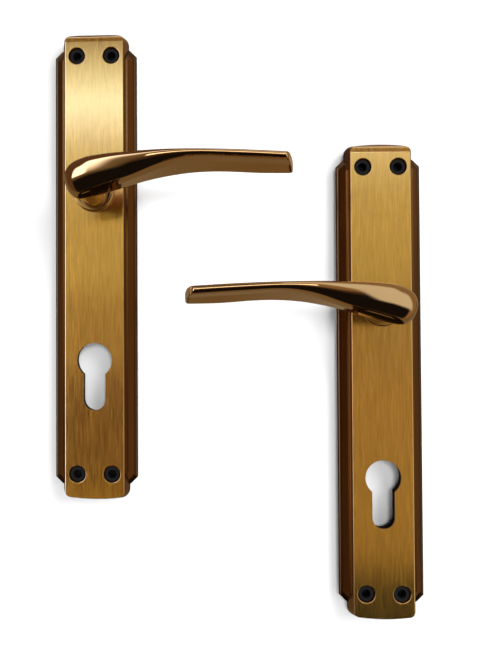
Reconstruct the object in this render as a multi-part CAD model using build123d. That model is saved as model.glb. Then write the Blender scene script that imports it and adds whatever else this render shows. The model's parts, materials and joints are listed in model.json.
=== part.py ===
from build123d import *
import math
import os

# A pair of lever door handles on long stepped backplates, for a lock case with a euro cylinder.
# Millimetres. +Z is up. The fronts face -Y and the backs lie on y = 0, the face of the door.
# The origin is the left handle's spindle axis on that plane. "Depth" is the distance in front of it.
# The right handle is the mirror image of the left one, moved beside it and lower.

# --- driving dimensions -------------------------------------------------------------------------
plate_width = 42.0
face_width = 30.0
tongue_width = 34.0        # the raised middle of the plate, where it meets the door
rise = 8.8                 # door to the front face of the plate
sheet = 1.2
top_end = 82.0             # spindle axis to the top end
bottom_end = 156.0         # spindle axis to the bottom end
cylinder_drop = 85.0       # spindle axis to the cylinder's round centre
cylinder_radius = 8.75
slot_width = 11.0
slot_drop = 25.0           # cylinder's round centre to the bottom of its slot
screw_spacing = 17.4
top_screws = 69.0
bottom_screws = 142.0
spindle_size = 8.0
turn_range = 30.0          # degrees from rest to the lower stop
pair_spacing = 143.0       # left spindle axis to right spindle axis, sideways
pair_drop = 58.3           # left spindle axis to right spindle axis, downwards
gap = 0.05                 # a sliding or turning clearance, on the radius
loose = 0.2                # a clearance between pieces that never need to touch
overlap = 0.2              # how far two forms reach into each other where they are joined

# --- backplate ----------------------------------------------------------------------------------
end_arch = 1.4             # how far the curved ends bulge beyond their corners
tongue_corner = 5.0
end_roll = 4.5             # radius where the face bends over at each end
face_round = 0.8
side_slack = 0.6           # keeps the rounding profiles clear of the sloping walls lower down
shoulder_back = 8.0        # plate end to the start of the shoulder
shoulder_chamfer = 3.6
skirt_rim = 1.6            # height of the outer rim of the flank
skirt_rim_round = 1.3
skirt_inset = 1.4          # rim edge to the foot of the slope
skirt_top = 5.2            # height at which the slope meets the raised middle
skirt_run = 3.0
skirt_wall = 0.77          # thickness of the sloping wall, measured along the depth
dimple_radius = 4.3
dimple_bottom = 3.6
dimple_round = 0.45

# --- support plate ------------------------------------------------------------------------------
support_thickness = 2.2
support_inset = 3.7        # edge of the backplate to the edge of the support plate
rib_slack = 0.7            # backplate's inner wall to the raised middle of the support plate
cassette_slack = 0.15
screw_radius = 2.25
post_radius = 4.4
cutout_margin = 0.6

# --- neck bearing and spring pack, each level a depth in front of the door -----------------------
journal_radius = 7.2
bush_radius = 8.45
flange_radius = 10.0
flange_thickness = 1.0
collar_radius = 10.25
collar_front = 11.3
collar_round = 0.7
washer_thickness = 0.4
washer_radius = 7.9
cassette_radius = 13.0
cassette_wall = 0.8
cassette_front = 6.5
cassette_back = 2.3
driver_front = 5.6
driver_back = 2.0
driver_radius = 8.2
lug_front = 3.0
lug_reach = 12.0
tab_front = 4.5            # the lug's outer end turns forward to meet the spring
tab_reach = 10.6
lug_half_angle = 10.0
stop_back = 2.3
stop_reach = 11.3          # the stops stand between this radius and the cassette wall
stop_half_angle = 12.0
stop_slack = 1.0           # degrees left free before the lug meets a stop
flats_radius = 6.8
flats_across = 11.4
retaining_front = 1.9
retaining_back = 1.3
retaining_radius = 9.6
clip_front = 1.2
clip_back = 0.5
clip_radius = 7.7
clip_gap = 25.0            # half the clip's opening, in degrees
clip_ear_angle = 8.0       # from the opening's edge to the middle of an ear
clip_ear_radius = 1.5
clip_hole_radius = 0.6
groove_radius = 6.3
journal_end = 0.25
socket_size = spindle_size + 0.15
socket_depth = 34.0
spindle_length = 100.0
spindle_front = 33.0
spindle_chamfer = 0.6
wire_radius = 0.375
wire_slack = 0.3           # degrees between the wire and the face it bears on
coil_radius = 9.6
leg_bend = 8.0             # degrees over which each end of the wire turns outwards
leg_reach = 11.8
ear_height = 16.4          # spindle axis to each of the cassette's two screws
ear_radius = 2.6
ear_thickness = 2.2
ear_bridge = 4.0
small_screw_radius = 1.25
small_head_radius = 2.3
small_head_height = 1.1
small_slot_length = 2.4
small_slot_width = 0.6

# --- neck: ovals from the collar up into the head ------------------------------------------------
# depth, left edge, right edge, half height
neck_ovals = (
    (collar_front + washer_thickness + 0.1, -7.9, 7.9, 8.8),
    (18.0, -7.5, 7.5, 8.2),
    (30.0, -7.2, 7.3, 7.8),
    (38.0, -7.0, 7.6, 7.4),
    (43.0, -6.8, 8.2, 6.6),
    (47.0, -6.4, 8.2, 5.2),
    (50.0, -5.6, 7.6, 3.6),
)

# --- grip: sections across the lever -------------------------------------------------------------
# At the head the front is a broad dome that ends below in an edge. Towards the tip that edge moves
# up and the face beneath it widens, until the grip is a blade seen on its edge.
# Each row: x, then depth and height of the top, the brow, the chin, the edge, the bottom and the
# back. The brow and the chin draw the front face without lying on it.
grip_sections = (
    (0.0, (52.0, 7.6), (59.0, 7.6), (62.0, -5.4), (48.0, -9.9), (45.5, -10.2), (41.6, -0.6)),
    (12.0, (55.0, 8.6), (61.5, 8.6), (64.5, -2.6), (51.0, -6.5), (46.0, -7.3), (42.2, 0.9)),
    (24.0, (57.5, 9.0), (62.5, 9.0), (66.0, 0.6), (55.5, -2.9), (45.0, -3.5), (43.0, 2.9)),
    (36.0, (59.5, 9.2), (63.5, 9.2), (66.5, 3.6), (57.0, 1.2), (44.6, -0.6), (43.8, 4.4)),
    (50.0, (60.5, 9.1), (64.0, 9.1), (66.5, 5.6), (58.0, 4.2), (46.2, 1.1), (44.6, 5.2)),
    (66.0, (60.5, 8.7), (64.0, 8.7), (66.5, 5.0), (57.5, 4.0), (49.5, 1.0), (45.6, 4.8)),
    (80.0, (60.0, 8.1), (64.0, 8.1), (66.0, 4.0), (57.0, 3.3), (50.9, 0.0), (46.4, 4.1)),
    (92.4, (59.5, 7.4), (63.7, 7.4), (65.2, 3.1), (56.7, 2.6), (50.8, -0.3), (46.8, 3.6)),
)
head_end = -7.3            # where the head closes, behind the spindle axis
head_middle = (49.5, -1.0)  # depth and height the head closes around
top_dome = 13.5            # length over which the head closes from above
bottom_dome = 7.2
depth_dome = 12.0
dome_fullness = 2.2
back_fullness = 0.6        # 0 makes the back faces flat, 1 makes them square
tip_slant = 0.22           # the end is cut at a slant: further out at the back than in front
slant_length = 14.0
slant_depth = 64.0         # depth at which the slanted end keeps its place
tip_cap = 1.2              # length over which the end is rounded
tip_flat = 0.86            # size of the flat end against the full section


def smooth_between(x):
    """The points of the section at x, on curves that pass through each row."""
    rows = grip_sections
    last = len(rows) - 1
    i = max(k for k in range(last) if k == 0 or rows[k][0] <= x)
    before, a, b, after = rows[max(i - 1, 0)], rows[i], rows[i + 1], rows[min(i + 2, last)]
    span = b[0] - a[0]
    t = min(max((x - a[0]) / span, 0.0), 1.0)
    blend = 3 * t**2 - 2 * t**3
    leave = (t**3 - 2 * t**2 + t) * span / (b[0] - before[0])
    arrive = (t**3 - t**2) * span / (after[0] - a[0])
    points = []
    for p, q, r, s in zip(before[1:], a[1:], b[1:], after[1:]):
        point = [
            q[k] + (r[k] - q[k]) * blend + (r[k] - p[k]) * leave + (s[k] - q[k]) * arrive
            for k in range(2)
        ]
        points.append(point)
    return points


def closing(x, reach):
    """Size of the head at x against its full size, along a dome of the given length."""
    u = min(max((head_end + reach - x) / reach, 0.0), 1.0)
    return (1 - u**dome_fullness) ** (1 / dome_fullness)


def closed_head(x, point):
    """A section point drawn in towards the middle of the head, near the head's end."""
    depth, height = point[0] - head_middle[0], point[1] - head_middle[1]
    dome = top_dome if height > 0 else bottom_dome
    return (
        head_middle[0] + depth * closing(x, depth_dome),
        head_middle[1] + height * closing(x, dome),
    )


def closed_tip(x, point, middle):
    """A section point drawn in a little towards its middle, over the rounding of the tip."""
    u = max(x - grip_sections[-1][0] + tip_cap, 0.0) / tip_cap
    size = 1 - (1 - tip_flat) * (1 - math.sqrt(1 - min(u, 1.0) ** 2))
    return tuple(m + (p - m) * size for p, m in zip(point, middle))


def grip_section(x):
    """The closed outline of the grip at x: front dome, lower face, and the two back faces."""
    top, brow, chin, edge, bottom, back = smooth_between(x)
    middle = ((edge[0] + back[0]) / 2, (top[1] + bottom[1]) / 2)
    tip = grip_sections[-1][0]
    slant = tip_slant * max((x - tip + slant_length) / slant_length, 0.0) ** 2

    def placed(point):
        depth, height = closed_tip(x, closed_head(x, point), middle)
        return Vector(x + slant * (slant_depth - depth), -depth, height)

    def rounded(start, end, corner):
        pull = [
            [p + (c - p) * back_fullness for p, c in zip(point, corner)] for point in (start, end)
        ]
        return Edge.make_bezier(*[placed(p) for p in (start, *pull, end)])

    return Wire(
        [
            Edge.make_bezier(*[placed(p) for p in (top, brow, chin, edge)]),
            Edge.make_line(placed(edge), placed(bottom)),
            rounded(bottom, back, (back[0], bottom[1])),
            rounded(back, top, (back[0], top[1])),
        ]
    )


def drawn_at(depth, sketch):
    """A flat shape drawn in X and Z, placed at a depth in front of the door."""
    return Plane.XZ.offset(depth) * sketch


def slab(sketch, back, front):
    """A flat shape given thickness between two depths."""
    return extrude(drawn_at(back, sketch), front - back)


def disc(radius, back, front):
    return slab(Circle(radius), back, front)


def ring(outer, inner, back, front):
    return slab(Circle(outer) - Circle(inner), back, front)


def wedge(reach, middle, half_angle):
    """A flat triangle from the origin, longer than its reach, centred on an angle from +X."""
    edge = 1.1 * reach / math.cos(math.radians(half_angle))
    sides = [math.radians(middle + turn) for turn in (-half_angle, half_angle)]
    corners = [(edge * math.cos(a), edge * math.sin(a)) for a in sides]
    return Polygon((0, 0), *corners, align=None)


def sector(inner, outer, middle, half_angle):
    """A flat piece of a ring, centred on an angle from +X in degrees."""
    return wedge(outer, middle, half_angle) & (Circle(outer) - Circle(inner))


def tongue_outline(width, top, bottom, corner):
    """The long raised middle: straight sides, softly arched ends, rounded corners."""
    w = width / 2
    foot = -bottom + end_arch
    head = top - end_arch
    outline = Wire(
        [
            Edge.make_line((w, foot), (w, head)),
            Edge.make_three_point_arc((w, head), (0, top), (-w, head)),
            Edge.make_line((-w, head), (-w, foot)),
            Edge.make_three_point_arc((-w, foot), (0, -bottom), (w, foot)),
        ]
    )
    face = Sketch(Face(outline).wrapped)
    return fillet(face.vertices(), corner)


def skirt_outline(inset):
    """The wide outer part of the plate, with its four cut corners, drawn in by an inset."""
    width = plate_width - 2 * inset
    top = top_end - shoulder_back - inset
    bottom = bottom_end - shoulder_back - inset
    blank = Pos(0, (top - bottom) / 2) * Rectangle(width, top + bottom)
    return chamfer(blank.vertices(), shoulder_chamfer)


def cylinder_outline(margin=0.0):
    """The euro cut-out: a round with a slot hanging from it."""
    radius = cylinder_radius + margin
    slot_radius = slot_width / 2 + margin
    slot_length = slot_drop - slot_width / 2
    slot = Pos(0, -slot_length / 2) * Rectangle(2 * slot_radius, slot_length)
    toe = Pos(0, -slot_length) * Circle(slot_radius)
    return Pos(0, -cylinder_drop) * (Circle(radius) + slot + toe)


def screw_places():
    half = screw_spacing / 2
    return [(x, z) for x in (-half, half) for z in (top_screws, -bottom_screws)]


def raised_form(inset, height):
    """The raised middle as a solid with sloping sides, drawn in by an inset."""
    slope = math.degrees(math.atan((tongue_width - face_width) / 2 / rise))
    outline = tongue_outline(
        tongue_width - 2 * inset,
        top_end - inset,
        bottom_end - inset,
        tongue_corner - inset / 2,
    )
    return extrude(drawn_at(0, outline), height, taper=slope)


def skirt_form(inset, start, height):
    """The sloping flank as a solid, drawn in by an inset."""
    slope = math.degrees(math.atan(skirt_run / (skirt_top - skirt_rim)))
    return extrude(drawn_at(start, skirt_outline(inset)), height - start, taper=slope)


def edges_softened(form):
    """The raised form with its front face bent over at both ends and rounded along both sides."""
    lean = (tongue_width - face_width) / 2 + side_slack / 2
    foot_top, foot_bottom = top_end + side_slack / 2, -bottom_end - side_slack / 2
    side = Polygon(
        (0, foot_bottom),
        (0, foot_top),
        (-rise, foot_top - lean - side_slack),
        (-rise, foot_bottom + lean + side_slack),
        align=None,
    )
    side = fillet(side.vertices().group_by(Axis.X)[0], end_roll)
    form &= extrude(Plane.YZ * side, plate_width, both=True)
    front, back = face_width / 2, tongue_width / 2 + side_slack
    across = Polygon((-back, 0), (back, 0), (front, -rise), (-front, -rise), align=None)
    across = fillet(across.vertices().group_by(Axis.Y)[0], face_round)
    return form & extrude(across, 2 * bottom_end, both=True)


def backplate():
    """The pressed face plate: a flat rim, a sloping flank and the raised middle, hollow behind."""
    rim = slab(skirt_outline(0), 0, skirt_rim)
    rim_edges = rim.faces().sort_by(Axis.Y)[0].edges()
    shell = fillet(rim_edges, skirt_rim_round)
    shell += skirt_form(skirt_inset, skirt_rim, skirt_top)
    shell += edges_softened(raised_form(0, rise))
    shell -= skirt_form(skirt_inset + overlap, 0, skirt_top - skirt_wall)
    hollow = raised_form(sheet, rise - sheet)
    length = top_end + bottom_end - 2 * end_roll - sheet
    middle = (top_end - bottom_end) / 2
    hollow &= slab(Pos(0, middle) * Rectangle(plate_width, length), 0, rise)
    shell -= hollow
    shell -= slab(cylinder_outline(), 0, 2 * rise)
    shell -= disc(bush_radius + gap, 0, 2 * rise)
    for x, z in screw_places():
        dimple = Cone(dimple_bottom, dimple_radius, sheet)
        shell -= Plane.XZ.offset(rise - sheet / 2) * Pos(x, z, 0) * dimple
    dimple_edges = shell.edges().filter_by(GeomType.CIRCLE)
    dimple_edges = dimple_edges.filter_by(lambda edge: abs(edge.radius - dimple_radius) < gap)
    return fillet(dimple_edges, dimple_round)


def support_plate():
    """The moulded plate behind the face plate, with a post around each fixing screw."""
    tongue = tongue_outline(
        tongue_width - 2 * (sheet + rib_slack),
        top_end - end_roll - sheet,
        bottom_end - end_roll - sheet,
        tongue_corner - sheet,
    )
    body = slab(skirt_outline(support_inset) + tongue, 0, support_thickness)
    for x, z in screw_places():
        body += slab(Pos(x, z) * Circle(post_radius), 0, rise - sheet - gap)
    for x, z in screw_places():
        body -= slab(Pos(x, z) * Circle(screw_radius), -1, rise)
    body -= slab(cylinder_outline(cutout_margin), -1, rise)
    body -= disc(cassette_radius + cassette_slack, -1, rise)
    for side in (-1, 1):
        body -= slab(Pos(0, side * ear_height) * Circle(small_screw_radius + gap), -1, rise)
        sink = Cone(small_head_radius + 2 * gap, small_screw_radius + 2 * gap, small_head_height)
        body -= Plane.XZ.offset(small_head_height / 2) * Pos(0, side * ear_height, 0) * sink
    return body


def neck_collar():
    body = ring(collar_radius, bush_radius + gap, rise, collar_front)
    rim = body.faces().sort_by(Axis.Y)[0].edges().sort_by(SortBy.RADIUS)[-1]
    return fillet(rim, collar_round)


def neck_bush():
    """The flanged bearing the lever turns in, held between the face plate and the cassette."""
    flange_front = rise - sheet - gap
    flange_back = flange_front - flange_thickness
    sleeve = ring(bush_radius, journal_radius + gap, flange_back, collar_front - gap)
    return sleeve + ring(flange_radius, journal_radius + gap, flange_back, flange_front)


def thrust_washer():
    return ring(washer_radius, journal_radius + gap, collar_front, collar_front + washer_thickness)


def two_flats(radius, across):
    return Circle(radius) & Rectangle(across, 4 * radius)


def neck():
    """Ovals that rise from the collar and widen towards the grip, up into the head."""
    ovals = Sketch()
    for depth, left, right, half_height in neck_ovals:
        oval = Pos((left + right) / 2, 0) * Ellipse((right - left) / 2, half_height)
        ovals += drawn_at(depth, oval)
    return loft(ovals)


def grip_stations():
    """Places along the grip to draw a section: close together where the head and tip round off."""
    tip = grip_sections[-1][0]
    steps = 7
    head = [head_end + top_dome * (0.01 + 0.99 * (k / steps) ** 2) for k in range(steps + 1)]
    rows = [x for x, *_ in grip_sections if head[-1] < x < tip]
    return head + rows + [tip - tip_cap, tip - tip_cap / 3, tip]


def lever():
    """Grip, neck, journal and the two-flat stem in one casting, bored for the square spindle."""
    grip = Solid.make_loft([grip_section(x) for x in grip_stations()])
    body = neck() + grip
    body += disc(journal_radius, driver_front + gap, neck_ovals[0][0])
    stem = slab(two_flats(flats_radius, flats_across), journal_end, driver_front + gap)
    stem -= ring(2 * flats_radius, groove_radius, clip_back, clip_front)
    body += stem
    return body - slab(Rectangle(socket_size, socket_size), -1, socket_depth)


def spring_cassette():
    """The pressed cup behind the plate that holds the spring, with two ears and two stops."""
    wall = cassette_radius - cassette_wall
    body = disc(cassette_radius, cassette_back, cassette_front)
    body -= disc(wall, -1, cassette_front - cassette_wall)
    ear_front = cassette_back + ear_thickness
    for side in (-1, 1):
        ear = Pos(0, side * ear_height) * Circle(ear_radius)
        bridge = Pos(0, side * (cassette_radius + ear_height) / 2)
        bridge = bridge * Rectangle(2 * ear_radius, ear_bridge)
        body += slab((ear + bridge) - Circle(wall), cassette_back, ear_front)
        body -= slab(Pos(0, side * ear_height) * Circle(small_screw_radius + gap), -1, rise)
    body -= disc(journal_radius + loose, -1, 2 * rise)
    for middle in stop_middles():
        stop = sector(stop_reach, wall + overlap, middle, stop_half_angle)
        body += slab(stop, stop_back, cassette_front)
    return body


def stop_middles():
    """Angles of the two stops: one behind the lug at rest, one beyond it when the lever is down."""
    rest_edge = 90 + lug_half_angle + stop_slack
    down_edge = 90 - lug_half_angle - turn_range - stop_slack
    return rest_edge + stop_half_angle, down_edge - stop_half_angle


def spring_driver():
    """The disc on the lever's two flats, whose lug meets the stops and winds the spring."""
    lug = sector(driver_radius - 1, lug_reach, 90, lug_half_angle)
    tab = sector(tab_reach, lug_reach, 90, lug_half_angle)
    body = disc(driver_radius, driver_back, driver_front)
    body += slab(lug, driver_back, lug_front)
    body += slab(tab, driver_back, tab_front)
    return body - slab(two_flats(flats_radius + gap, flats_across + 2 * gap), 0, rise)


def round_place(radius, angle, height):
    turn = math.radians(angle)
    return Vector(radius * math.cos(turn), radius * math.sin(turn), height)


def return_spring():
    """A flat torsion spring whose two ends bend outwards: one bears on the lug, one on a stop."""
    wire_angle = math.degrees(wire_radius / stop_reach) + wire_slack
    lug_side = 90 - lug_half_angle - wire_angle
    stop_side = stop_middles()[1] + stop_half_angle + wire_angle
    turns = 2 + (stop_side - lug_side - 2 * leg_bend) / 360
    back = lug_front + loose + wire_radius
    height = driver_front - loose / 2 - wire_radius - back
    helix = Edge.make_helix(height / turns, height, coil_radius)
    start_angle, end_angle = -leg_bend, 360 * turns + leg_bend
    start = round_place(leg_reach, start_angle, 0)
    end = round_place(leg_reach, end_angle, height)
    inwards, outwards = -round_place(1, start_angle, 0), round_place(1, end_angle, 0)
    first = Edge.make_spline([start, helix @ 0], tangents=[inwards, helix % 0])
    last = Edge.make_spline([helix @ 1, end], tangents=[helix % 1, outwards])
    path = Wire([first, helix, last])
    coil = sweep(Plane(path @ 0, z_dir=path % 0) * Circle(wire_radius), path)
    return Plane.XZ.offset(back) * Rot(0, 0, lug_side + leg_bend) * coil


def retaining_washer():
    hole = two_flats(flats_radius + gap, flats_across + 2 * gap)
    return slab(Circle(retaining_radius) - hole, retaining_back, retaining_front)


def circlip():
    """An open ring with an eyed ear on each side of its opening, in the stem's groove."""
    band = Circle(clip_radius) - wedge(clip_radius, -90, clip_gap)
    for side in (-1, 1):
        ear = round_place(clip_radius, -90 + side * (clip_gap + clip_ear_angle), 0)
        band += Pos(ear.X, ear.Y) * Circle(clip_ear_radius)
        band -= Pos(ear.X, ear.Y) * Circle(clip_hole_radius)
    band -= Circle(groove_radius + gap)
    return slab(band, clip_back + gap, clip_front - gap)


def cassette_screws():
    """Two small countersunk screws from behind, holding the cassette to the support plate."""
    screws = []
    for side in (-1, 1):
        shank = disc(small_screw_radius, small_head_height, cassette_back + ear_thickness)
        head = Cone(small_head_radius, small_screw_radius, small_head_height)
        body = shank + Plane.XZ.offset(small_head_height / 2) * head
        for turn in (0, 90):
            slot = Rot(0, 0, turn) * Rectangle(small_slot_length, small_slot_width)
            body -= slab(slot, 0, small_slot_width)
        screws.append(Pos(0, 0, side * ear_height) * body)
    return Compound(children=screws)


def spindle():
    bar = slab(Rectangle(spindle_size, spindle_size), spindle_front - spindle_length, spindle_front)
    ends = bar.faces().filter_by(Axis.Y).edges()
    return chamfer(ends, spindle_chamfer)


HANDLE_PIECES = (
    backplate,
    support_plate,
    neck_collar,
    neck_bush,
    thrust_washer,
    lever,
    spring_cassette,
    spring_driver,
    return_spring,
    retaining_washer,
    circlip,
    cassette_screws,
)

os.makedirs("parts", exist_ok=True)
for make in HANDLE_PIECES:
    name = make.__name__
    piece = make()
    export_step(piece, f"parts/left_{name}.step")
    right = Pos(pair_spacing, 0, -pair_drop) * piece.mirror(Plane.YZ)
    export_step(right, f"parts/right_{name}.step")
export_step(spindle(), "parts/spindle.step")
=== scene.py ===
import json
import math

import bmesh
import bpy
import numpy as np
from mathutils import Matrix, Vector


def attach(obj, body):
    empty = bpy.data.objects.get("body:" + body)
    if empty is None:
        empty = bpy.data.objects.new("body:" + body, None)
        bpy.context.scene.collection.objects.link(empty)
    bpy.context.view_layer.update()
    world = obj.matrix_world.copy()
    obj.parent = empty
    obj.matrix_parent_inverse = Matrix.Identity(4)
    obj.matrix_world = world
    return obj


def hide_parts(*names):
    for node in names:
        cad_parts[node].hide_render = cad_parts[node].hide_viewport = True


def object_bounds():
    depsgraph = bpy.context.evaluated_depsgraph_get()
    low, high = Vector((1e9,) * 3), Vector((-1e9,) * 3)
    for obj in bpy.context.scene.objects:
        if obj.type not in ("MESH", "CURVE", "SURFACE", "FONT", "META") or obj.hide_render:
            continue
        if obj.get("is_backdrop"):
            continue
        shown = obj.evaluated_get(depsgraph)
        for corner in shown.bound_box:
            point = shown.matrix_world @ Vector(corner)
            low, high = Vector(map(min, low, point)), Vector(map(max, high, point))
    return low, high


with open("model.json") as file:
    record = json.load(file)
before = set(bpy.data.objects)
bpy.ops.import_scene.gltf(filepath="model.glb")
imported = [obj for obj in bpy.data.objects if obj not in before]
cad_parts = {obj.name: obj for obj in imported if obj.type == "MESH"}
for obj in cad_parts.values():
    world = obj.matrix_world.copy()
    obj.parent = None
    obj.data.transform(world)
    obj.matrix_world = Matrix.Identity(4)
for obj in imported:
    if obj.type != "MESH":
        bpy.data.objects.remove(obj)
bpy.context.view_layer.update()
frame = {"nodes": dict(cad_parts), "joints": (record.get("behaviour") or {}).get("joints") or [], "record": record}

# A pair of mirrored lever handles on long stepped plates, laid out on white. Metres; the lever is
# drawn in millimetres, x along the grip, depth in front of the door and height above the spindle
# axis, as the frame's own model draws it, and then moved to its handle.
MM = 0.001
SIDES = ("left", "right")
REACH = {"left": 1.0, "right": -1.0}
AXIS = {joint["child"]: Vector(joint["pos_m"]) for joint in frame["joints"]}
BODY = {side: f"{side}_lever_body" for side in SIDES}

# --- lever ------------------------------------------------------------------------------------
# Each row: x, then depth and height of the top, the brow, the chin, the edge, the bottom and the
# back. The brow and the chin draw the front face without lying on it.
GRIP = (
    (0.0, (52.0, 7.6), (59.0, 7.6), (62.0, -5.4), (48.0, -9.9), (45.5, -10.2), (41.6, -0.6)),
    (12.0, (55.0, 8.6), (61.5, 8.6), (64.5, -2.6), (51.0, -6.5), (46.0, -7.3), (42.2, 0.9)),
    (24.0, (57.5, 9.0), (62.5, 9.0), (66.0, 0.6), (55.5, -2.9), (45.0, -3.5), (43.0, 2.9)),
    (36.0, (59.5, 9.2), (63.5, 9.2), (66.5, 3.6), (57.0, 1.2), (44.6, -0.6), (43.8, 4.4)),
    (50.0, (60.5, 9.1), (64.0, 9.1), (66.5, 5.6), (58.0, 4.2), (46.2, 1.1), (44.6, 5.2)),
    (66.0, (60.5, 8.7), (64.0, 8.7), (66.5, 5.0), (57.5, 4.0), (49.5, 1.0), (45.6, 4.8)),
    (80.0, (60.0, 8.1), (64.0, 8.1), (66.0, 4.0), (57.0, 3.3), (50.9, 0.0), (46.4, 4.1)),
    (92.4, (59.5, 7.4), (63.7, 7.4), (65.2, 3.1), (56.7, 2.6), (50.8, -0.3), (46.8, 3.6)),
)
GRIP_X = np.array([row[0] for row in GRIP])
GRIP_POINTS = np.array([row[1:] for row in GRIP])
TIP = GRIP_X[-1]
HEAD_END = -7.3
HEAD_MIDDLE = np.array((49.5, -1.0))
TOP_DOME, BOTTOM_DOME, DEPTH_DOME = 13.5, 7.2, 12.0
DOME_FULLNESS = 2.2
HEAD_EASE = 2.0            # how gently the sections stop changing on the way into the head
BACK_FULLNESS = 0.6
TIP_SLANT, SLANT_LENGTH, SLANT_DEPTH = 0.22, 14.0, 64.0
TIP_CAP, TIP_FLAT = 1.2, 0.86
EDGE_ROUND = 1.1           # how far back from each hard edge its rounding starts
MOST_ROUND = 0.3           # and the most of a face that a rounding may take
SHARP_ANGLE = 32           # degrees above which an edge stays sharp

# How many points draw each face of a section, and how many sections draw each stretch
FRONT_POINTS, CHIN_POINTS, UNDER_POINTS, OVER_POINTS, CORNER_POINTS = 34, 14, 14, 16, 9
HEAD_RINGS, BODY_RINGS, TIP_RINGS, NECK_RINGS = 40, 110, 8, 60
HEAD_START = 0.0004        # the first section of the head, as a share of the dome's length

# depth, left edge, right edge, half height of the ovals from the collar up into the head
NECK = np.array((
    (11.8, -7.9, 7.9, 8.8),
    (18.0, -7.5, 7.5, 8.2),
    (30.0, -7.2, 7.3, 7.8),
    (38.0, -7.0, 7.6, 7.4),
    (43.0, -6.8, 8.2, 6.6),
    (47.0, -6.4, 8.2, 5.2),
    (50.0, -5.6, 7.6, 3.6),
))
JOURNAL_RADIUS = 7.2
STEM_RADIUS, STEM_ACROSS = 6.8, 11.4
GROOVE_RADIUS, GROOVE_BACK, GROOVE_FRONT = 6.3, 0.5, 1.2
STEM_BACK, STEM_FRONT = 0.25, 5.65
SOCKET_SIZE, SOCKET_DEPTH = 8.15, 34.0


def even_curve(knots, values, x):
    """Values at x on a curve through the given rows that bends evenly (a natural cubic spline)."""
    gap = np.diff(knots)
    slope = np.diff(values, axis=0) / gap[:, None]
    matrix = np.eye(len(knots))
    target = np.zeros_like(values)
    for i in range(1, len(knots) - 1):
        matrix[i, i - 1:i + 2] = gap[i - 1], 2 * (gap[i - 1] + gap[i]), gap[i]
        target[i] = 6 * (slope[i] - slope[i - 1])
    bend = np.linalg.solve(matrix, target)
    i = int(np.clip(np.searchsorted(knots, x) - 1, 0, len(gap) - 1))
    a, b = (knots[i + 1] - x) / gap[i], (x - knots[i]) / gap[i]
    line = a * values[i] + b * values[i + 1]
    return line + ((a**3 - a) * bend[i] + (b**3 - b) * bend[i + 1]) * gap[i]**2 / 6


def closing(x, reach):
    """Size of the head at x against its full size, along a dome of the given length."""
    u = np.clip((HEAD_END + reach - x) / reach, 0.0, 1.0)
    return (1 - u**DOME_FULLNESS) ** (1 / DOME_FULLNESS)


def grip_controls(x):
    """The section's named points at x, drawn in at the head and rounded at the tip."""
    flat = even_curve(GRIP_X, GRIP_POINTS.reshape(len(GRIP), -1), (x + math.hypot(x, HEAD_EASE)) / 2)
    points = flat.reshape(-1, 2) - HEAD_MIDDLE
    dome = np.where(points[:, 1] > 0, closing(x, TOP_DOME), closing(x, BOTTOM_DOME))
    points = points * np.stack((np.full(len(points), closing(x, DEPTH_DOME)), dome), axis=1)
    points = points + HEAD_MIDDLE
    top, brow, chin, edge, bottom, back = points
    middle = np.array(((edge[0] + back[0]) / 2, (top[1] + bottom[1]) / 2))
    u = np.clip((x - TIP + TIP_CAP) / TIP_CAP, 0.0, 1.0)
    size = 1 - (1 - TIP_FLAT) * (1 - math.sqrt(1 - u**2))
    return middle + (points - middle) * size


def along(controls, start, end, count):
    """Points on the curve drawn by its control points, between two shares of its length."""
    t = np.linspace(start, end, count)[:, None]
    points = np.array(controls)[:, None, :] * np.ones_like(t)
    while len(points) > 1:
        points = points[:-1] * (1 - t) + points[1:] * t
    return points[0]


def grip_ring(x):
    """The closed outline of the grip at x with its two hard edges rounded."""
    top, brow, chin, edge, bottom, back = grip_controls(x)
    under, over = np.array((back[0], bottom[1])), np.array((back[0], top[1]))

    def rounded(start, end, corner):
        return start, start + (corner - start) * BACK_FULLNESS, end + (corner - end) * BACK_FULLNESS, end

    faces = [((top, brow, chin, edge), FRONT_POINTS), ((edge, bottom), CHIN_POINTS)]
    faces += [(rounded(bottom, back, under), UNDER_POINTS), (rounded(back, top, over), OVER_POINTS)]
    hard_start = (False, True, True, False)
    pieces = []
    for k, (controls, count) in enumerate(faces):
        length = np.linalg.norm(controls[-1] - controls[0]) + 1e-9
        trim = min(EDGE_ROUND / length, MOST_ROUND)
        following = faces[(k + 1) % 4][0]
        begin = trim if hard_start[k] else 0.0
        if hard_start[(k + 1) % 4]:
            pieces.append(along(controls, begin, 1 - trim, count))
            next_length = np.linalg.norm(following[-1] - following[0]) + 1e-9
            next_trim = min(EDGE_ROUND / next_length, MOST_ROUND)
            leave, arrive = pieces[-1][-1], along(following, next_trim, next_trim, 1)[0]
            pieces.append(along((leave, controls[-1], arrive), 0.0, 1.0, CORNER_POINTS)[1:-1])
        else:
            pieces.append(along(controls, begin, 1.0, count + 1)[:-1])
    outline = np.concatenate(pieces)
    slant = TIP_SLANT * max((x - TIP + SLANT_LENGTH) / SLANT_LENGTH, 0.0) ** 2
    shifted = x + slant * (SLANT_DEPTH - outline[:, 0])
    return np.column_stack((shifted, outline))


def grip_rings():
    """The sections from the end of the head to the tip, closest together where the shape turns."""
    head = HEAD_END + TOP_DOME * (HEAD_START + (1 - HEAD_START) * np.linspace(0, 1, HEAD_RINGS) ** 2)
    body = np.linspace(head[-1], TIP - TIP_CAP, BODY_RINGS)[1:]
    tip = TIP - TIP_CAP * (1 - np.sin(np.linspace(0, math.pi / 2, TIP_RINGS + 1)[1:]))
    return [grip_ring(x) for x in (*head, *body, *tip)]


ROUND = np.linspace(0, 2 * math.pi, 96, endpoint=False)


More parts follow.
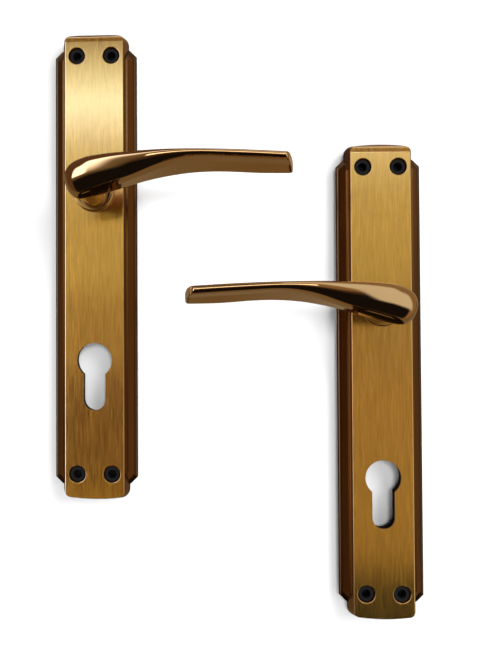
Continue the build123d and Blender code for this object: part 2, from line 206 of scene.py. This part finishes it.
def turned(depth, reach):
    """A ring about the spindle axis: reach is the radius, or one radius for each angle."""
    across, up = reach * np.cos(ROUND), reach * np.sin(ROUND)
    return np.column_stack((across, np.full(len(ROUND), depth), up))


def square_reach(size):
    """How far a square of this size reaches from the axis, at each angle."""
    return size / 2 / np.maximum(np.abs(np.cos(ROUND)), np.abs(np.sin(ROUND)))


def flats_reach(radius):
    """How far the stem reaches from the axis, at each angle, with its two flats."""
    return np.minimum(radius, STEM_ACROSS / 2 / np.maximum(np.abs(np.cos(ROUND)), 1e-6))


def neck_ring(depth):
    """The oval of the neck at this depth."""
    left, right, half_height = even_curve(NECK[:, 0], NECK[:, 1:], depth)
    ring = turned(depth, 1.0)
    ring[:, 0] = (left + right) / 2 + ring[:, 0] * (right - left) / 2
    ring[:, 2] *= half_height
    return ring


def neck_rings():
    """From the floor of the square socket, back around the stem, and up the neck into the head."""
    rings = [turned(SOCKET_DEPTH, square_reach(SOCKET_SIZE)), turned(STEM_BACK, square_reach(SOCKET_SIZE))]
    for radius, back, front in (
        (STEM_RADIUS, STEM_BACK, GROOVE_BACK),
        (GROOVE_RADIUS, GROOVE_BACK, GROOVE_FRONT),
        (STEM_RADIUS, GROOVE_FRONT, STEM_FRONT),
    ):
        rings += [turned(back, flats_reach(radius)), turned(front, flats_reach(radius))]
    rings += [turned(STEM_FRONT, JOURNAL_RADIUS), turned(NECK[0, 0], JOURNAL_RADIUS)]
    rings += [neck_ring(depth) for depth in np.linspace(NECK[0, 0], NECK[-1, 0], NECK_RINGS)]
    return rings


def skin(rings):
    """Vertices and faces of a closed tube through the rings, capped at both ends."""
    count = len(rings[0])
    faces = []
    for row in range(len(rings) - 1):
        for k in range(count):
            a, b = row * count + k, row * count + (k + 1) % count
            faces.append((a, b, b + count, a + count))
    last = (len(rings) - 1) * count
    faces.append(tuple(range(count))[::-1])
    faces.append(tuple(range(last, last + count)))
    return np.concatenate(rings), faces


def build_lever(side, material):
    """One lever casting as a dense smooth mesh that follows the frame's lever."""
    grip, grip_faces = skin(grip_rings())
    stem, stem_faces = skin(neck_rings())
    drawn = np.concatenate((grip, stem))
    faces = grip_faces + [tuple(v + len(grip) for v in face) for face in stem_faces]
    axis = AXIS[BODY[side]]
    corners = [
        (axis.x + REACH[side] * x * MM, axis.y - depth * MM, axis.z + height * MM)
        for x, depth, height in drawn
    ]
    mesh = bpy.data.meshes.new(f"{side}_lever_casting")
    mesh.from_pydata(corners, [], faces)
    mesh.validate()
    outward(mesh)
    mesh.shade_smooth()
    mesh.set_sharp_from_angle(angle=math.radians(SHARP_ANGLE))
    mesh.materials.append(material)
    lever = bpy.data.objects.new(mesh.name, mesh)
    bpy.context.scene.collection.objects.link(lever)
    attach(lever, BODY[side])
    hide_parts(f"{side}_lever")
    return lever


def outward(mesh):
    """Turn every face of each closed shell to face outwards."""
    shell = bmesh.new()
    shell.from_mesh(mesh)
    bmesh.ops.recalc_face_normals(shell, faces=shell.faces)
    shell.to_mesh(mesh)
    shell.free()


# ---------------------------------------------------------------------------------------------
# Node helpers
# ---------------------------------------------------------------------------------------------
class Nodes:
    """A short way to write a material: every method adds one node and returns its output."""

    def __init__(self, tree):
        self.tree = tree
        tree.nodes.clear()

    @classmethod
    def new(cls, name):
        material = bpy.data.materials.new(name)
        material.use_nodes = True
        nodes = cls(material.node_tree)
        nodes.material = material
        nodes.place = nodes.add("ShaderNodeTexCoord").outputs["Object"]
        return nodes

    def add(self, kind, **settings):
        node = self.tree.nodes.new(kind)
        for key, value in settings.items():
            setattr(node, key, value)
        return node

    def feed(self, node, **inputs):
        for key, value in inputs.items():
            socket = node.inputs[int(key[1:])] if key[1:].isdigit() else node.inputs[key.replace("_", " ")]
            if isinstance(value, bpy.types.NodeSocket):
                self.tree.links.new(value, socket)
            else:
                socket.default_value = value
        return node

    def math(self, operation, a, b=0.0, c=0.0):
        node = self.add("ShaderNodeMath", operation=operation)
        return self.feed(node, i0=a, i1=b, i2=c).outputs[0]

    def stretched(self, x, y, z):
        """Object coordinates multiplied along each axis, for grain that runs one way."""
        node = self.add("ShaderNodeMapping", vector_type="POINT")
        return self.feed(node, Vector=self.place, Scale=(x, y, z)).outputs[0]

    def noise(self, vector, scale, detail, roughness):
        node = self.add("ShaderNodeTexNoise")
        self.feed(node, Vector=vector, Scale=scale, Detail=detail, Roughness=roughness)
        return node.outputs["Fac"]

    def span(self, value, low, high, to_low=0.0, to_high=1.0):
        node = self.add("ShaderNodeMapRange", clamp=True)
        self.feed(node, i0=value, i1=low, i2=high, i3=to_low, i4=to_high)
        return node.outputs[0]

    def mix(self, factor, a, b):
        """Blend of two colours."""
        node = self.add("ShaderNodeMix", data_type="RGBA")
        return self.feed(node, i0=factor, i6=a, i7=b).outputs[2]

    def bump(self, height, distance, strength=1.0, normal=None):
        node = self.add("ShaderNodeBump")
        self.feed(node, Height=height, Distance=distance, Strength=strength)
        if normal is not None:
            self.feed(node, Normal=normal)
        return node.outputs[0]

    def surface(self, **inputs):
        shader = self.feed(self.add("ShaderNodeBsdfPrincipled"), **inputs)
        out = self.add("ShaderNodeOutputMaterial")
        self.tree.links.new(shader.outputs[0], out.inputs[0])
        return self.material


# ---------------------------------------------------------------------------------------------
# Materials
# ---------------------------------------------------------------------------------------------
# Depths in front of the door (m, negative towards the camera) between which one look gives way to
# the next: the plates' raised face, the rim of their flanks, where painted shade darkens them, and the collars.
FACE_STARTS = (-0.0056, -0.0064)
RIM_SHADE_STARTS = (-0.0024, -0.0016)
COLLAR_STARTS = (-0.0124, -0.0118)


def brushed_bronze():
    """Face plates: brushed along their length in front, polished on the flanks, whose darker colour is painted
    shade, darkest at the rim.
    """
    n = Nodes.new("brushed_bronze")
    grain = n.noise(n.stretched(2600, 400, 240), 1.0, 4.0, 0.6)
    streaks = n.noise(n.stretched(1300, 300, 90), 1.0, 3.0, 0.5)
    clouds = n.noise(n.place, 38.0, 3.0, 0.5)
    specks = n.noise(n.place, 900.0, 2.0, 0.6)
    facing = n.add("ShaderNodeNewGeometry").outputs["Normal"]
    split = n.feed(n.add("ShaderNodeSeparateXYZ"), Vector=facing)
    depth = n.feed(n.add("ShaderNodeSeparateXYZ"), Vector=n.place).outputs["Y"]
    lengthways = n.math("MULTIPLY", n.math("ABSOLUTE", split.outputs["Z"]), 0.45)
    tilt = n.math("MAXIMUM", n.math("ABSOLUTE", split.outputs["X"]), lengthways)
    front = n.math("MULTIPLY", n.span(tilt, 0.45, 0.25), n.span(depth, *FACE_STARTS))
    tone = n.math("ADD", n.math("MULTIPLY", grain, 0.45), n.math("MULTIPLY", streaks, 0.35))
    tone = n.math("ADD", tone, n.math("MULTIPLY", clouds, 0.20))
    tone = n.span(tone, 0.32, 0.68)
    brushed = n.mix(tone, (0.60, 0.325, 0.04, 1), (0.84, 0.48, 0.08, 1))
    # The flanks' dark colour is painted shade, and the rim by the door is painted darker still.
    flank_and_shade = n.mix(clouds, (0.21, 0.10, 0.034, 1), (0.27, 0.135, 0.05, 1))
    flank_and_shade = n.mix(n.span(depth, *RIM_SHADE_STARTS), flank_and_shade, (0.10, 0.052, 0.024, 1))
    colour = n.mix(front, flank_and_shade, brushed)
    rough_front = n.span(streaks, 0.3, 0.7, 0.18, 0.24)
    rough_flank = n.span(specks, 0.3, 0.7, 0.20, 0.26)
    rough = n.add("ShaderNodeMix", data_type="FLOAT")
    n.feed(rough, i0=front, i2=rough_flank, i3=rough_front)
    along = n.feed(n.add("ShaderNodeCombineXYZ"), X=1.0, Y=0.0, Z=0.0).outputs[0]
    lines = n.math("MULTIPLY", grain, front)
    normal = n.bump(lines, 0.00003, 0.25)
    normal = n.bump(n.math("MULTIPLY", specks, front), 0.00002, 0.3, normal)
    anisotropy = n.math("MULTIPLY", front, 0.9)
    return n.surface(Base_Color=colour, Metallic=1.0, Roughness=rough.outputs[0],
                     Anisotropic=anisotropy, Tangent=along, Normal=normal,
                     Coat_Weight=front, Coat_Roughness=0.15, Coat_IOR=2.3)


def polished_bronze():
    """Levers: mirror polished dark bronze with the faint haze of handling. The collars are satin."""
    n = Nodes.new("polished_bronze")
    haze = n.noise(n.place, 60.0, 3.0, 0.5)
    specks = n.noise(n.place, 2600.0, 2.0, 0.6)
    scratches = n.noise(n.stretched(160, 900, 2200), 1.0, 2.0, 0.5)
    colour = n.mix(haze, (0.52, 0.315, 0.115, 1), (0.60, 0.375, 0.15, 1))
    depth = n.feed(n.add("ShaderNodeSeparateXYZ"), Vector=n.place).outputs["Y"]
    satin = n.span(depth, *COLLAR_STARTS)
    rough = n.math("ADD", n.span(haze, 0.3, 0.7, 0.045, 0.075), n.span(specks, 0.62, 0.8, 0.0, 0.05))
    rough = n.math("MULTIPLY_ADD", satin, 0.22, rough)
    normal = n.bump(haze, 0.00006, 0.25)
    normal = n.bump(scratches, 0.000004, 0.15, normal)
    return n.surface(Base_Color=colour, Metallic=1.0, Roughness=rough, Normal=normal,
                     Coat_Weight=n.math("SUBTRACT", 1.0, satin), Coat_Roughness=0.03)


def moulded_nylon(name, dark, light, roughness):
    """Moulded plastic: a fine spark-eroded grain and slow flow marks."""
    n = Nodes.new(name)
    flow = n.noise(n.stretched(40, 40, 12), 1.0, 3.0, 0.5)
    grain = n.noise(n.place, 2600.0, 3.0, 0.6)
    rough = n.span(grain, 0.3, 0.7, roughness, roughness + 0.12)
    normal = n.bump(grain, 0.00003, 0.5)
    return n.surface(Base_Color=n.mix(flow, dark, light), Roughness=rough, Normal=normal, IOR=1.2)


def bright_zinc():
    """Zinc plated pressings: cool grey with a faint yellow and blue bloom and rolled grain."""
    n = Nodes.new("bright_zinc")
    bloom = n.noise(n.place, 140.0, 2.0, 0.5)
    grain = n.noise(n.stretched(300, 300, 3000), 1.0, 3.0, 0.6)
    colour = n.mix(bloom, (0.56, 0.55, 0.50, 1), (0.62, 0.65, 0.70, 1))
    rough = n.span(grain, 0.3, 0.7, 0.22, 0.36)
    return n.surface(Base_Color=colour, Metallic=1.0, Roughness=rough, Normal=n.bump(grain, 0.00001, 0.4))


def spring_steel():
    """Oiled spring steel: dark, with drawn lines and brown temper tones."""
    n = Nodes.new("spring_steel")
    temper = n.noise(n.place, 220.0, 3.0, 0.6)
    grain = n.noise(n.place, 3200.0, 2.0, 0.6)
    colour = n.mix(temper, (0.10, 0.085, 0.075, 1), (0.20, 0.20, 0.21, 1))
    rough = n.span(grain, 0.3, 0.7, 0.25, 0.42)
    return n.surface(Base_Color=colour, Metallic=1.0, Roughness=rough, Normal=n.bump(grain, 0.00001, 0.4))


MATERIALS = {
    "brushed_bronze": brushed_bronze(),
    "polished_bronze": polished_bronze(),
    "black_nylon": moulded_nylon("black_nylon", (0.007, 0.007, 0.007, 1), (0.014, 0.014, 0.014, 1), 0.75),
    "zinc_plated_steel": bright_zinc(),
    "spring_steel": spring_steel(),
}


def dress_frame():
    """Every CAD node that stays takes the material of its slot in the record."""
    for entry in frame["record"]["subparts"]:
        node = frame["nodes"][entry["node"]]
        node.data.materials.clear()
        node.data.materials.append(MATERIALS[entry["material_slot"]])


# ---------------------------------------------------------------------------------------------
# Stage, light and camera
# ---------------------------------------------------------------------------------------------
PAPER = ((0.93, 0.93, 0.935, 1), (0.96, 0.96, 0.96, 1))
# The dark colours of the painted shade behind the screw holes.
PAINTED_SHADE_DARK = ((0.006, 0.006, 0.006, 1), (0.012, 0.012, 0.012, 1))
STAGE_REACH, WALL_BEHIND, FLOOR_BELOW = 1.6, 0.006, 0.05
FLOOR_GLOW = 0.40
SCREW_SPACING, TOP_SCREWS, BOTTOM_SCREWS = 0.0174, 0.069, 0.142
SHADOW_SIZE, SHADOW_DEPTH = 0.009, 0.0002


def flat_sheet(name, corners, material):
    """One stage sheet of four corners."""
    mesh = bpy.data.meshes.new(name)
    mesh.from_pydata(corners, [], [(0, 1, 2, 3)])
    mesh.materials.append(material)
    sheet = bpy.data.objects.new(name, mesh)
    bpy.context.scene.collection.objects.link(sheet)
    sheet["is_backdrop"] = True
    return sheet


def stage_sheet(name, dark, light, see_through_back, glow=0.0):
    """Matt paper for the stage, or a dark sheet of painted shade, which may vanish when it is seen from behind."""
    n = Nodes.new(name)
    paper = n.noise(n.place, 60.0, 2.0, 0.5)
    colour = n.mix(paper, dark, light)
    material = n.surface(Base_Color=colour, Roughness=0.9, Specular_IOR_Level=0.1,
                         Emission_Color=colour, Emission_Strength=glow)
    if see_through_back:
        out = next(node for node in n.tree.nodes if node.type == "OUTPUT_MATERIAL")
        shader = next(node for node in n.tree.nodes if node.type == "BSDF_PRINCIPLED")
        clear = n.add("ShaderNodeBsdfTransparent")
        mix = n.add("ShaderNodeMixShader")
        behind = n.add("ShaderNodeNewGeometry").outputs["Backfacing"]
        n.feed(mix, i0=behind, i1=shader.outputs[0], i2=clear.outputs[0])
        n.tree.links.new(mix.outputs[0], out.inputs[0])
    return material


def build_stage(low):
    """A white sheet just behind the plates, seen only from the front, and a pale floor below."""
    size, back = STAGE_REACH, WALL_BEHIND
    level = low.z - FLOOR_BELOW
    corners = [(-size, back, level), (size, back, level), (size, back, size), (-size, back, size)]
    wall = flat_sheet("backdrop", corners, stage_sheet("backdrop_white", *PAPER, True))
    wall.visible_shadow = False
    wall.visible_glossy = False
    wall.visible_diffuse = False
    wall.visible_transmission = False
    corners = [(-size, -size, level), (size, -size, level), (size, size, level), (-size, size, level)]
    floor = flat_sheet("floor", corners, stage_sheet("floor_white", *PAPER, False, FLOOR_GLOW))
    floor.visible_glossy = False


def build_screw_shadows():
    """Painted shade: dark sheets just behind the screw holes, so that the white backdrop doesn't show through."""
    dark = stage_sheet("screw_shadow", *PAINTED_SHADE_DARK, True)
    for side in SIDES:
        axis = AXIS[BODY[side]]
        for across in (-SCREW_SPACING / 2, SCREW_SPACING / 2):
            for up in (TOP_SCREWS, -BOTTOM_SCREWS):
                x, z, half = axis.x + across, axis.z + up, SHADOW_SIZE / 2
                corners = [(x - half, SHADOW_DEPTH, z - half), (x + half, SHADOW_DEPTH, z - half)]
                corners += [(x + half, SHADOW_DEPTH, z + half), (x - half, SHADOW_DEPTH, z + half)]
                flat_sheet("screw_shadow", corners, dark)


def soft_light(name, place, aim, size, radiance, colour, lights_metal):
    """A rectangular softbox that lights either the metal or everything that isn't shiny."""
    data = bpy.data.lights.new(name, "AREA")
    data.shape = "RECTANGLE"
    data.size, data.size_y = size
    data.energy = radiance * math.pi * size[0] * size[1]
    data.color = colour
    lamp = bpy.data.objects.new(name, data)
    lamp.location = place
    lamp.rotation_mode = "QUATERNION"
    lamp.rotation_quaternion = (Vector(aim) - Vector(place)).to_track_quat("-Z", "Y")
    lamp.visible_glossy = lights_metal
    lamp.visible_diffuse = not lights_metal
    bpy.context.scene.collection.objects.link(lamp)
    return lamp


def smooth_edge(n, value, low, high):
    """0 at low, 1 at high, and a smooth step between them."""
    node = n.add("ShaderNodeMapRange", interpolation_type="SMOOTHSTEP")
    n.feed(node, i0=value, i1=low, i2=high, i3=0.0, i4=1.0)
    return node.outputs[0]


AMBIENT, SEEN = 0.15, 0.93   # strength as light, and as the camera sees it
ROOM_DARK = (0.012, 0.010, 0.010, 1)
ROOM_AHEAD = (0.075, 0.045, 0.035, 1)
ROOM_LEFT = (0.26, 0.20, 0.13, 1)
ROOM_UPPER_LEFT = (0.15, 0.08, 0.05, 1)
ROOM_UPPER_RIGHT = (0.36, 0.24, 0.13, 1)
ROOM_TABLE = (0.24, 0.165, 0.085, 1)
ROOM_WINDOW = (3.2, 3.4, 4.2, 1)
ROOM_CARD = (0.95, 0.97, 1.0, 1)


def build_world():
    """Pale to the camera. In reflections a room drawn by direction (x, y and z of the ray): black
    below, brown ahead and above, a window on the left, a white card on the right, a table behind."""
    world = bpy.data.worlds.new("studio")
    world.use_nodes = True
    n = Nodes(world.node_tree)
    way = n.add("ShaderNodeTexCoord").outputs["Generated"]
    split = n.feed(n.add("ShaderNodeSeparateXYZ"), Vector=way)
    x, y, z = split.outputs
    upper = n.mix(smooth_edge(n, x, -0.2, 0.2), ROOM_UPPER_LEFT, ROOM_UPPER_RIGHT)
    colour = n.mix(smooth_edge(n, z, 0.0, 0.45), ROOM_AHEAD, upper)
    colour = n.mix(smooth_edge(n, z, -0.30, 0.0), ROOM_DARK, colour)
    facing = n.math("MULTIPLY_ADD", n.math("ABSOLUTE", x), 0.664, n.math("MULTIPLY", y, 0.693))
    inner = n.math("MULTIPLY_ADD", n.math("MULTIPLY", z, z), -0.3, facing)
    outer = n.math("MULTIPLY_ADD", z, 0.137, facing)
    side = n.math("MULTIPLY", smooth_edge(n, inner, -0.50, -0.33), smooth_edge(n, z, -0.65, -0.25))
    side = n.math("MULTIPLY", side, smooth_edge(n, x, 0.0, -0.1))
    colour = n.mix(side, colour, ROOM_LEFT)
    colour = n.mix(smooth_edge(n, outer, 0.18, 0.30), colour, upper)
    window = n.math("MULTIPLY", smooth_edge(n, inner, -0.34, -0.12), smooth_edge(n, x, 0.1, -0.1))
    window = n.math("MULTIPLY", window, smooth_edge(n, outer, 0.30, 0.18))
    window = n.math("MULTIPLY", window, smooth_edge(n, z, -0.34, -0.20))
    colour = n.mix(window, colour, ROOM_WINDOW)
    card = n.math("MULTIPLY", smooth_edge(n, inner, -0.32, -0.26), smooth_edge(n, x, -0.1, 0.1))
    card = n.math("MULTIPLY", card, smooth_edge(n, outer, 0.56, 0.34))
    card = n.math("MULTIPLY", card, smooth_edge(n, z, -0.66, -0.44))
    colour = n.mix(card, colour, ROOM_CARD)
    table = n.math("MULTIPLY", smooth_edge(n, y, 0.26, 0.34), smooth_edge(n, z, 0.25, 0.0))
    colour = n.mix(table, colour, ROOM_TABLE)
    glossy = n.add("ShaderNodeLightPath").outputs["Is Glossy Ray"]
    camera = n.add("ShaderNodeLightPath").outputs["Is Camera Ray"]
    strength = n.span(camera, 0.0, 1.0, AMBIENT, SEEN)
    reflected = n.feed(n.add("ShaderNodeBackground"), Color=colour, Strength=1.0)
    seen = n.feed(n.add("ShaderNodeBackground"), Color=(1, 1, 1, 1), Strength=strength)
    mix = n.feed(n.add("ShaderNodeMixShader"), i0=glossy, i1=seen.outputs[0], i2=reflected.outputs[0])
    n.feed(n.add("ShaderNodeOutputWorld"), Surface=mix.outputs[0])
    bpy.context.scene.world = world


# What the brushed plates see ahead of them: left, right, bottom, top (m) and light colour.
GRADED_LIGHT = (
    (-0.60, 0.80, 0.349, 0.418, (0.82, 0.98, 0.78)),
    (-0.60, 0.80, 0.310, 0.349, (1.75, 2.50, 3.60)),
    (-0.60, 0.80, 0.270, 0.310, (1.20, 1.40, 1.80)),
    (-0.60, 0.80, 0.190, 0.270, (0.62, 0.68, 0.44)),
    (-0.60, 0.80, 0.000, 0.190, (0.45, 0.41, 0.17)),
    (-0.60, 0.80, -0.140, 0.000, (0.27, 0.20, 0.07)),
    (-0.60, 0.10, -0.345, -0.140, (0.05, 0.01, 0.00)),
    (-0.60, 0.10, -0.480, -0.345, (0.32, 0.20, 0.03)),
    (0.10, 0.80, -0.470, -0.140, (0.35, 0.24, 0.07)),
)
GRADED_LIGHT_DEPTH = -0.97


def only_for(lamp, name, objects):
    """Let the lamp light nothing but the given objects."""
    chosen = bpy.data.collections.new(name)
    for thing in objects:
        chosen.objects.link(thing)
    lamp.light_linking.receiver_collection = chosen


WHITE = (1, 1, 1)
STRIP_PLACE = (0.07, -0.50, 0.37)
STRIP_AIM = (0.07, -0.06, -0.03)
STRIP_SIZE = (0.40, 0.20)
STRIP_RADIANCE = 3.0
WALL_AIM = (0.07, 0.0, -0.07)


def build_metal_lights(levers):
    """Lights seen only in reflections: a graded wall of light for the plates and their collars, and
    a strip for the levers."""
    lit = ("backplate", "neck_collar")
    plates = [frame["nodes"][f"{side}_{piece}"] for side in SIDES for piece in lit]
    for left, right, bottom, top, colour in GRADED_LIGHT:
        place = ((left + right) / 2, GRADED_LIGHT_DEPTH, (bottom + top) / 2)
        aim = (place[0], 0.0, place[2])
        lamp = soft_light("graded_light", place, aim, (right - left, top - bottom), 1.0, colour, True)
        only_for(lamp, "brushed_plates", plates)
    strip = soft_light("strip", STRIP_PLACE, STRIP_AIM, STRIP_SIZE, STRIP_RADIANCE, WHITE, True)
    only_for(strip, "levers", levers)


def build_wall_lights():
    """Everything matt is lit from ahead, and more broadly from the upper right."""
    soft_light("front", (0.16, -1.20, 0.07), WALL_AIM, (0.22, 0.22), 37.0, WHITE, False)
    soft_light("side", (0.95, -1.20, 0.48), WALL_AIM, (0.90, 0.90), 7.2, WHITE, False)


# Metres and radians; the focal length and the shift are shares of the image's height.
CAMERA_PLACE = (0.06031, -0.41007, -0.07185)
CAMERA_YAW = 0.0436
CAMERA_PITCH = 0.0208
CAMERA_ROLL = -0.0041
FOCAL_IN_IMAGE_HEIGHTS = 1.2271
OFF_CENTRE = (0.09237, -0.01591)
SENSOR = 36.0


def build_camera():
    """A camera a little to the left of the handles' middle, turned, tipped and rolled slightly."""
    data = bpy.data.cameras.new("camera")
    data.sensor_width = SENSOR
    data.lens = SENSOR * FOCAL_IN_IMAGE_HEIGHTS
    data.shift_x, data.shift_y = OFF_CENTRE
    camera = bpy.data.objects.new("camera", data)
    bpy.context.scene.collection.objects.link(camera)
    ahead = Vector((-math.sin(CAMERA_YAW) * math.cos(CAMERA_PITCH),
                    math.cos(CAMERA_YAW) * math.cos(CAMERA_PITCH),
                    math.sin(CAMERA_PITCH)))
    level = Vector((math.cos(CAMERA_YAW), math.sin(CAMERA_YAW), 0.0))
    upright = level.cross(ahead)
    c, s = math.cos(CAMERA_ROLL), math.sin(CAMERA_ROLL)
    right = c * level + s * upright
    up = c * upright - s * level
    turn = Matrix((right, up, -ahead)).transposed()
    camera.matrix_world = Matrix.Translation(CAMERA_PLACE) @ turn.to_4x4()
    bpy.context.scene.camera = camera
    bpy.context.scene.view_settings.view_transform = "Standard"


dress_frame()
levers = [build_lever(side, MATERIALS["polished_bronze"]) for side in SIDES]
build_stage(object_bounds()[0])
build_screw_shadows()
build_world()
build_metal_lights(levers)
build_wall_lights()
build_camera()
